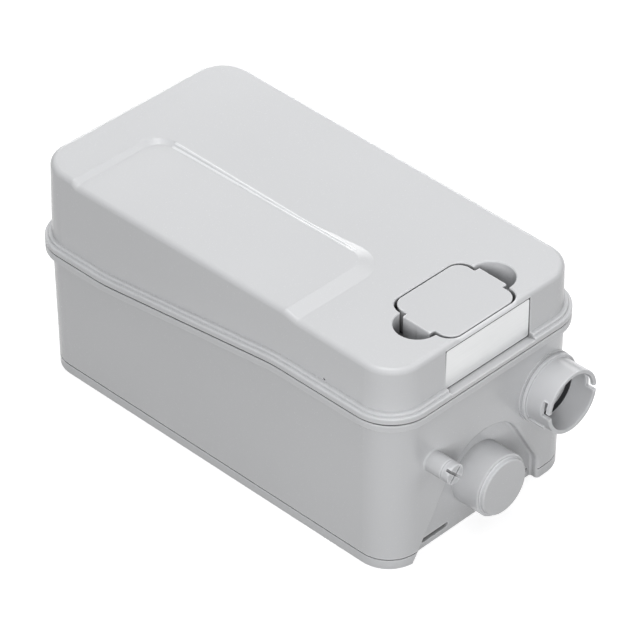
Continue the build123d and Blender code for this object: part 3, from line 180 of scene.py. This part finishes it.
# Tank and lid. Two mouldings of light grey ABS from a finely spark-eroded mould,
# which gives a satin skin with soft, wide highlights along every rounded edge.
# Their sharp edges also get a painted highlight, and their recesses painted shade.
skin_contrast = 0.04
skin_relief = 0.35
flow_patch = 110 * mm
patch_edges = (0.3, 0.7)
# Painted shade in recesses: how far ambient occlusion looks, its range, and the darkest share of the base
# colour.
recess_reach = 14 * mm
recess_open = (0.10, 0.60)
recess_shade = 0.28
# Painted highlight on sharp edges: how far ambient occlusion looks inside the part, its range, and how
# much paler the edge gets.
edge_reach = 1.8 * mm
edge_open = (0.40, 0.88)
painted_highlight_gain = 1.30
edge_rays = 8
plastic_ior = 1.52


def grained_skin(name, light, dark, roughness, grain, depth):
    """Grained skin in two close tints, with painted shade darkening its recesses and painted highlights
    paling its sharp edges.
    """
    finish, shader = new_finish(name)
    place = add_node(finish, "ShaderNodeTexCoord").outputs["Object"]
    patches = add_node(
        finish, "ShaderNodeTexNoise", [("Scale", 1 / flow_patch), ("Detail", 2.0)], [("Vector", place)]
    )
    tint = add_node(finish, "ShaderNodeValToRGB", links=[("Fac", patches.outputs["Fac"])])
    tint.color_ramp.elements[0].position = patch_edges[0]
    tint.color_ramp.elements[0].color = linear_colour(dark)
    tint.color_ramp.elements[1].position = patch_edges[1]
    tint.color_ramp.elements[1].color = linear_colour(light)
    skin = add_node(
        finish, "ShaderNodeTexNoise", [("Scale", 1 / grain), ("Detail", 3.0)], [("Vector", place)]
    )
    gloss = add_node(
        finish,
        "ShaderNodeMapRange",
        [("To Min", roughness - skin_contrast), ("To Max", roughness + skin_contrast)],
        [("Value", skin.outputs["Fac"])],
    )
    relief = add_node(
        finish,
        "ShaderNodeBump",
        [("Strength", skin_relief), ("Distance", depth)],
        [("Height", skin.outputs["Fac"])],
    )
    # Painted shade: ambient occlusion darkens the base colour where other surfaces lie near, in recesses,
    # creases, gaps and under overhangs.
    recess = add_node(
        finish, "ShaderNodeAmbientOcclusion", [("samples", edge_rays), ("Distance", recess_reach)]
    )
    painted_recess_shade = add_node(
        finish,
        "ShaderNodeMapRange",
        [("From Min", recess_open[0]), ("From Max", recess_open[1]), ("To Min", recess_shade)],
        [("Value", recess.outputs["AO"])],
    )
    # Painted highlight: ambient occlusion traced inside the part finds sharp convex edges, and the base
    # colour there is made paler to stand in for the bright lines of light along them.
    edge = add_node(
        finish,
        "ShaderNodeAmbientOcclusion",
        [("samples", edge_rays), ("inside", True), ("only_local", True), ("Distance", edge_reach)],
    )
    painted_edge_highlight = add_node(
        finish,
        "ShaderNodeMapRange",
        [("From Min", edge_open[0]), ("From Max", edge_open[1]), ("To Min", painted_highlight_gain)],
        [("Value", edge.outputs["AO"])],
    )
    tone = add_node(
        finish,
        "ShaderNodeMath",
        [("operation", "MULTIPLY")],
        [(0, painted_recess_shade.outputs["Result"]), (1, painted_edge_highlight.outputs["Result"])],
    )
    shaded = add_node(
        finish,
        "ShaderNodeVectorMath",
        [("operation", "SCALE")],
        [("Vector", tint.outputs["Color"]), ("Scale", tone.outputs["Value"])],
    )
    finish.node_tree.links.new(shaded.outputs["Vector"], shader.inputs["Base Color"])
    finish.node_tree.links.new(gloss.outputs["Result"], shader.inputs["Roughness"])
    finish.node_tree.links.new(relief.outputs["Normal"], shader.inputs["Normal"])
    shader.inputs["IOR"].default_value = plastic_ior
    return finish


def dress(finish, *names):
    """Gives CAD nodes one finish."""
    for name in names:
        slots = nodes[name].data.materials
        slots.clear()
        slots.append(finish)


# The real grain of this and the later mouldings is 0.03 to 0.1 mm. It is drawn at 0.5 to 0.9 mm
# so that it shows.
grey_abs = grained_skin("spark_eroded_grey_abs", "D6D7D9", "D4D5D7", 0.26, 0.8 * mm, 0.03 * mm)
dress(grey_abs, "tank", "lid")

# Beads on the lid. Two low rounded beads run along the long panel's inner side and
# show as thin bright lines, also where the panel and the top are level.
bead_lines = (-9.9 * mm, -7.5 * mm)
bead_rear = 99.0 * mm
bead_front = -50.0 * mm
bead_width = 1.5 * mm
bead_height = 0.42 * mm
bead_skin = 0.02 * mm
bead_fade = 9.0 * mm
bead_steps = 150
bead_sides = 16
ray_start = 1.0


def lid_height(x, y):
    """Height of the lid's top skin at one place."""
    return nodes["lid"].ray_cast(Vector((x, y, ray_start)), Vector((0.0, 0.0, -1.0)))[1].z


bead_form = bmesh.new()
for line_x in bead_lines:
    ring_edges = []
    for step in range(bead_steps + 1):
        y = bead_rear + (bead_front - bead_rear) * step / bead_steps
        fade = min(1.0, (bead_rear - y) / bead_fade, (y - bead_front) / bead_fade)
        rise = max(bead_skin, bead_height * fade)
        across = Matrix.Translation((line_x, y, 0.0)) @ Matrix.Rotation(math.pi / 2, 4, "X")
        ring = bmesh.ops.create_circle(
            bead_form,
            cap_ends=step in (0, bead_steps),
            segments=bead_sides,
            radius=bead_width / 2,
            matrix=across,
        )["verts"]
        ring_edges.append(list({edge for vert in ring for edge in vert.link_edges}))
        for vert in ring:
            vert.co.z = lid_height(vert.co.x, y) + vert.co.z * 2 * rise / bead_width - bead_skin
    for edges, after in zip(ring_edges, ring_edges[1:]):
        bmesh.ops.bridge_loops(bead_form, edges=edges + after)
bmesh.ops.recalc_face_normals(bead_form, faces=bead_form.faces)
for face in bead_form.faces:
    face.smooth = len(face.verts) == 4
beads = new_piece("panel_beads", bead_form, grey_abs)
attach(beads, "lid")

# Filter cover. A cap of the same grey ABS from a polished mould, which looks
# a little glossier than the lid. Two tabs in the finger hollows lift it out.
smooth_abs = grained_skin("polished_grey_abs", "D4D5D7", "D2D3D5", 0.26, 0.6 * mm, 0.02 * mm)
dress(smooth_abs, "filter_cover")

# Discharge socket, non-return valve, plug and gland. Moulded polypropylene,
# waxy and smooth, with tighter highlights than the tank.
fitting_plastic = grained_skin("moulded_grey_polypropylene", "D3D4D6", "CFD0D3", 0.24, 0.6 * mm, 0.02 * mm)
dress(
    fitting_plastic,
    "discharge_socket",
    "socket_nut",
    "valve_seat",
    "valve_nut",
    "drain_plug",
    "gland_body",
    "gland_locknut",
    "gland_nut",
)

# Rings at the ports. Soft light grey silicone, duller than the fittings,
# so that each one shows only as a thin shaded line.
grey_silicone = grained_skin("moulded_grey_silicone", "B9BABC", "B1B2B4", 0.55, 0.5 * mm, 0.02 * mm)
dress(grey_silicone, "wall_seal", "plug_seal")

# Black rubber parts: lid gasket, cover frame, rings of mouth, gland and shaft, flap, diaphragm
# and pump mounts. Cured EPDM is dull, with a faint grey bloom.
rubber = grained_skin("cured_black_epdm", "2E2F31", "27282A", 0.62, 0.5 * mm, 0.03 * mm)
dress(
    rubber,
    "lid_gasket",
    "cover_seal",
    "mouth_seal",
    "gland_seal",
    "shaft_seal",
    "valve_flap",
    "diaphragm",
    "pump_mounts",
)

# Discharge hose. A thick rubber hose, wound on a core, whose buried cord shows as low ribs.
# It is plain where it is pushed over the pump's outlet and the valve's tail.
hose_route = [
    (0.0400, 0.0160, 0.0270),
    (0.0400, -0.0010, 0.0270),
    (0.0400, -0.0200, 0.0270),
    (0.0425, -0.0320, 0.0374),
    (0.0475, -0.0560, 0.0580),
    (0.0500, -0.0680, 0.0684),
    (0.0500, -0.0870, 0.0684),
    (0.0500, -0.1040, 0.0684),
]
hose_radius = 13.0 * mm
hose_bore_radius = 10.05 * mm
hose_plain_end = 17.0 * mm
hose_rib_pitch = 4.2 * mm
hose_rib_depth = 0.7 * mm
hose_step = 0.7 * mm
hose_end_gap = 0.001 * mm
hose_sides = 48

hose_curve = bpy.data.curves.new("hose_line", "CURVE")
hose_curve.dimensions = "3D"
hose_spline = hose_curve.splines.new("NURBS")
hose_spline.points.add(len(hose_route) - 1)
for point, place in zip(hose_spline.points, hose_route):
    point.co = (*place, 1.0)
hose_spline.order_u = 3
hose_spline.use_endpoint_u = True
hose_spline.resolution_u = 32
hose_guide = bpy.data.objects.new("hose_line", hose_curve)
scene.collection.objects.link(hose_guide)
bpy.context.view_layer.update()
hose_line = bpy.data.meshes.new_from_object(hose_guide)
line_points = [v.co.copy() for v in hose_line.vertices]
bpy.data.objects.remove(hose_guide)
bpy.data.meshes.remove(hose_line)
line_runs = [0.0]
for here, after in zip(line_points, line_points[1:]):
    line_runs.append(line_runs[-1] + (after - here).length)
hose_length = line_runs[-1]


def hose_place(run):
    """Matrix that sets a flat ring square to the hose's line at one length along it."""
    index = max(i for i in range(len(line_runs) - 1) if line_runs[i] <= run)
    step = line_points[index + 1] - line_points[index]
    place = line_points[index] + step * ((run - line_runs[index]) / step.length)
    return Matrix.Translation(place) @ step.to_track_quat("Z", "X").to_matrix().to_4x4()


hose_form = bmesh.new()
ring_count = int(hose_length / hose_step)
ring_runs = [hose_length * i / ring_count for i in range(ring_count)] + [hose_length - hose_end_gap]
ring_sizes = []
for run in ring_runs:
    ribbed = hose_plain_end < run < hose_length - hose_plain_end
    rib_turn = 2 * math.pi * (run - hose_plain_end) / hose_rib_pitch if ribbed else 0.0
    ring_sizes.append((run, hose_radius - hose_rib_depth * (1 - math.cos(rib_turn)) / 2))
ring_sizes += [(run, hose_bore_radius) for run in reversed(ring_runs)]
ring_edges = []
for run, radius in ring_sizes:
    ring = bmesh.ops.create_circle(hose_form, segments=hose_sides, radius=radius, matrix=hose_place(run))
    ring_edges.append(list({edge for vert in ring["verts"] for edge in vert.link_edges}))
for edges, after in zip(ring_edges, ring_edges[1:] + ring_edges[:1]):
    bmesh.ops.bridge_loops(hose_form, edges=edges + after)
bmesh.ops.recalc_face_normals(hose_form, faces=hose_form.faces)
for face in hose_form.faces:
    face.smooth = True
hose = new_piece("ribbed_hose", hose_form, rubber)
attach(hose, "tank")
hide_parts("discharge_hose")

# Carbon filter. A pressed block of activated carbon grains, almost black and rough,
# with grains of about 1.5 mm standing out of its faces. It hangs under the filter cover.
carbon = grained_skin("pressed_activated_carbon", "34353A", "18181A", 0.85, 1.2 * mm, 0.3 * mm)
carbon_corner = 3.4 * mm
carbon_corner_steps = 4
carbon_grain = 1.5 * mm
carbon_pits = 0.6 * mm
carbon_cell = 0.75 * mm
carbon_low, carbon_high = (Vector(corner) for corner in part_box("carbon_filter"))
block_form = bmesh.new()
bmesh.ops.create_cube(block_form, size=1.0)
bmesh.ops.scale(block_form, vec=carbon_high - carbon_low, verts=block_form.verts)
bmesh.ops.translate(block_form, vec=(carbon_high + carbon_low) / 2, verts=block_form.verts)
upright = [e for e in block_form.edges if abs(e.verts[0].co.z - e.verts[1].co.z) > mm]
bmesh.ops.bevel(
    block_form,
    geom=upright,
    offset=carbon_corner,
    affect="EDGES",
    segments=carbon_corner_steps,
    profile=0.5,
    material=-1,
)
block = new_piece("carbon_block", block_form, carbon)
cells = block.modifiers.new("cells", "REMESH")
cells.mode = "VOXEL"
cells.voxel_size = carbon_cell
grains = bpy.data.textures.new("carbon_grains", "VORONOI")
grains.noise_scale = carbon_grain
pits = block.modifiers.new("pits", "DISPLACE")
pits.texture = grains
pits.texture_coords = "LOCAL"
pits.mid_level = 0.0
pits.strength = -carbon_pits
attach(block, "filter_cover")
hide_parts("carbon_filter")

# Deck, its posts, pump casing, suction plate and impeller. Dark grey glass-filled polypropylene,
# with a slightly streaked and uneven gloss from the fibres.
filled_plastic = grained_skin("glass_filled_polypropylene", "53565B", "45484D", 0.46, 0.9 * mm, 0.06 * mm)
dress(filled_plastic, "deck", "deck_posts", "suction_plate", "pump_casing", "impeller")


# Motor housing and cap. Die-cast aluminium, shot-blasted: a pale, even metal whose grain of
# about 0.2 mm is drawn at 1 mm so that it shows. Cooling fins stand round the housing.
def worked_metal(name, light, dark, roughness, grain, depth):
    """Metal with a fine grain that varies its tint and its gloss."""
    finish = grained_skin(name, light, dark, roughness, grain, depth)
    shader = finish.node_tree.nodes["Principled BSDF"]
    shader.inputs["Metallic"].default_value = 1.0
    shader.inputs["IOR"].default_value = 1.5
    return finish


cast_aluminium = worked_metal("blasted_cast_aluminium", "C4C6C9", "B4B6BA", 0.48, 1.0 * mm, 0.08 * mm)
dress(cast_aluminium, "motor_housing", "motor_cap")
fin_count = 36
fin_thickness = 1.8 * mm
fin_root = 44.0 * mm
fin_tip = 49.0 * mm
fin_low = 54.0 * mm
fin_high = 114.0 * mm
fin_round = 0.5 * mm
fin_top_slope = 3.0 * mm
motor_low, motor_high = (Vector(corner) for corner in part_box("motor_housing"))
motor_axis = (motor_low + motor_high) / 2
fin_form = bmesh.new()
for turn in range(fin_count):
    fin = bmesh.ops.create_cube(fin_form, size=1.0)["verts"]
    bmesh.ops.scale(fin_form, vec=(fin_tip - fin_root, fin_thickness, fin_high - fin_low), verts=fin)
    bmesh.ops.translate(fin_form, vec=((fin_tip + fin_root) / 2, 0.0, (fin_high + fin_low) / 2), verts=fin)
    for vert in fin:
        if vert.co.x > fin_tip - mm and vert.co.z > fin_high - mm:
            vert.co.z -= fin_top_slope
    around = Matrix.Rotation(2 * math.pi * turn / fin_count, 3, "Z")
    bmesh.ops.rotate(fin_form, matrix=around, verts=fin)
    bmesh.ops.translate(fin_form, vec=(motor_axis.x, motor_axis.y, 0.0), verts=fin)
bmesh.ops.bevel(
    fin_form,
    geom=fin_form.edges[:],
    offset=fin_round,
    affect="EDGES",
    segments=2,
    profile=0.5,
    material=-1,
)
fins = new_piece("cooling_fins", fin_form, cast_aluminium)
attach(fins, "tank")

# Shaft, bearings, screws, pin and clamps. Ground or bright drawn steel, smooth enough for sharp
# streaks of light. Its drawing marks of about 0.05 mm are drawn at 0.4 mm so that they show.
ground_steel = worked_metal("bright_drawn_steel", "C8C9CB", "B8BABC", 0.26, 0.4 * mm, 0.01 * mm)
dress(
    ground_steel,
    "shaft",
    "lower_bearing",
    "upper_bearing",
    "impeller_nut",
    "flap_pin",
    "hose_clamps",
    "deck_screws",
    "plate_screws",
    "motor_screws",
    "capacitor_clip",
)

# Stator and rotor. Stacks of oiled electrical sheet, each sheet 0.5 mm thick,
# drawn at 1 mm so that the edges show as dark lines round the stack.
sheet_pitch = 1.0 * mm
sheet_groove = 0.1 * mm
# The wave texture draws this many bands a metre for each unit of its scale.
wave_bands = 20 / (2 * math.pi)
sheet_steel, sheet_shader = new_finish("stacked_electrical_sheet")
sheet_place = add_node(sheet_steel, "ShaderNodeTexCoord").outputs["Object"]
sheet_edges = add_node(
    sheet_steel,
    "ShaderNodeTexWave",
    [("bands_direction", "Z"), ("Scale", 1 / (wave_bands * sheet_pitch)), ("Distortion", 0.2)],
    [("Vector", sheet_place)],
)
sheet_tint = add_node(sheet_steel, "ShaderNodeValToRGB", links=[("Fac", sheet_edges.outputs["Fac"])])
sheet_tint.color_ramp.elements[0].color = linear_colour("3C3E41")
sheet_tint.color_ramp.elements[1].color = linear_colour("76787C")
sheet_relief = add_node(
    sheet_steel,
    "ShaderNodeBump",
    [("Strength", 0.5), ("Distance", sheet_groove)],
    [("Height", sheet_edges.outputs["Fac"])],
)
sheet_steel.node_tree.links.new(sheet_tint.outputs["Color"], sheet_shader.inputs["Base Color"])
sheet_steel.node_tree.links.new(sheet_relief.outputs["Normal"], sheet_shader.inputs["Normal"])
sheet_shader.inputs["Metallic"].default_value = 1.0
sheet_shader.inputs["Roughness"].default_value = 0.42
dress(sheet_steel, "stator_stack", "rotor_core")

# Stator windings. Enamelled copper wire of about 0.8 mm, wound in bundles:
# a warm brown metal under clear lacquer, ridged by its turns.
copper_wire = worked_metal("enamelled_copper_wire", "B8743F", "9C5E2C", 0.33, 0.8 * mm, 0.25 * mm)
dress(copper_wire, "stator_windings")

# Control box with its cover, and the level switch's housing and bell. Mid grey polycarbonate,
# injection moulded with a fine texture that keeps their highlights broad and soft.
box_plastic = grained_skin("moulded_grey_polycarbonate", "8F9398", "868A90", 0.40, 0.7 * mm, 0.04 * mm)
dress(box_plastic, "control_box", "control_cover", "switch_housing", "dip_bell")

# Terminal block and plunger. Natural polyamide, moulded without pigment:
# off-white, a little warm, and duller than the fittings.
polyamide = grained_skin("natural_polyamide", "DDD9CC", "D3CFC1", 0.38, 0.6 * mm, 0.02 * mm)
dress(polyamide, "terminal_block", "plunger")

# Microswitch and its button. A black thermoset, pressed in a hot mould,
# which leaves it even and slightly shiny.
thermoset = grained_skin("black_thermoset", "2B2C2F", "232427", 0.34, 0.5 * mm, 0.02 * mm)
dress(thermoset, "microswitch", "switch_button")

# Capacitor. A round can of pale grey polypropylene, held by a steel clip.
# A polished mould leaves it smooth, with a clear highlight down its side.
can_plastic = grained_skin("pale_polypropylene_can", "C9CBCB", "BFC1C2", 0.30, 0.6 * mm, 0.02 * mm)
dress(can_plastic, "capacitor")

# Control board. Glass fibre laminate under green solder lacquer, which is glossy
# and lets the weave, 0.7 mm from thread to thread, just show through.
weave_pitch = 0.7 * mm
laminate, laminate_shader = new_finish("green_glass_fibre_laminate")
laminate_place = add_node(laminate, "ShaderNodeTexCoord").outputs["Object"]
weave = add_node(
    laminate,
    "ShaderNodeTexVoronoi",
    [("Scale", 1 / weave_pitch), ("Randomness", 0.15)],
    [("Vector", laminate_place)],
)
weave_tint = add_node(laminate, "ShaderNodeValToRGB", links=[("Fac", weave.outputs["Distance"])])
weave_tint.color_ramp.elements[0].color = linear_colour("3C6E4C")
weave_tint.color_ramp.elements[1].color = linear_colour("2F5A3E")
laminate.node_tree.links.new(weave_tint.outputs["Color"], laminate_shader.inputs["Base Color"])
laminate_shader.inputs["Roughness"].default_value = 0.3
dress(laminate, "control_board")

# Label plate. A blank silver polyester film, brushed lengthwise in strokes 17 mm long and
# 0.4 mm apart: paler than the lid, with a soft metallic sheen that picks up the white table.
brush_strokes_per_metre = (60.0, 60.0, 2500.0)
label_film, label_shader = new_finish("brushed_silver_film")
label_place = add_node(label_film, "ShaderNodeTexCoord").outputs["Object"]
label_stretch = add_node(
    label_film, "ShaderNodeMapping", [("Scale", brush_strokes_per_metre)], [("Vector", label_place)]
)
label_lines = add_node(
    label_film,
    "ShaderNodeTexNoise",
    [("Scale", 1.0), ("Detail", 4.0)],
    [("Vector", label_stretch.outputs["Vector"])],
)
label_tint = add_node(label_film, "ShaderNodeValToRGB", links=[("Fac", label_lines.outputs["Fac"])])
label_tint.color_ramp.elements[0].color = linear_colour("ECEDEE")
label_tint.color_ramp.elements[1].color = linear_colour("FAFBFB")
label_film.node_tree.links.new(label_tint.outputs["Color"], label_shader.inputs["Base Color"])
label_shader.inputs["Roughness"].default_value = 0.35
label_shader.inputs["Metallic"].default_value = 0.35
dress(label_film, "rating_plate")

# Dark frame of the label plate. A thin black sheet, a little larger than the film and set just behind it,
# which frames the plate with a fine dark line.
pad_edge = 0.6 * mm
pad_behind = 0.15 * mm
merge_reach = 0.001 * mm
plate_low, plate_high = (Vector(corner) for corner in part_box("rating_plate"))
plate_size = plate_high - plate_low
plate_middle = (plate_high + plate_low) / 2
pad_form = bmesh.new()
pad_form.from_mesh(nodes["rating_plate"].data)
bmesh.ops.remove_doubles(pad_form, verts=pad_form.verts, dist=merge_reach)
pad_scale = (1 + 2 * pad_edge / plate_size.x, 1.0, 1 + 2 * pad_edge / plate_size.z)
bmesh.ops.translate(pad_form, vec=-plate_middle, verts=pad_form.verts)
bmesh.ops.scale(pad_form, vec=pad_scale, verts=pad_form.verts)
bmesh.ops.translate(pad_form, vec=plate_middle + Vector((0.0, pad_behind, 0.0)), verts=pad_form.verts)
pad = new_piece("label_dark_frame", pad_form, rubber)
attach(pad, "lid")
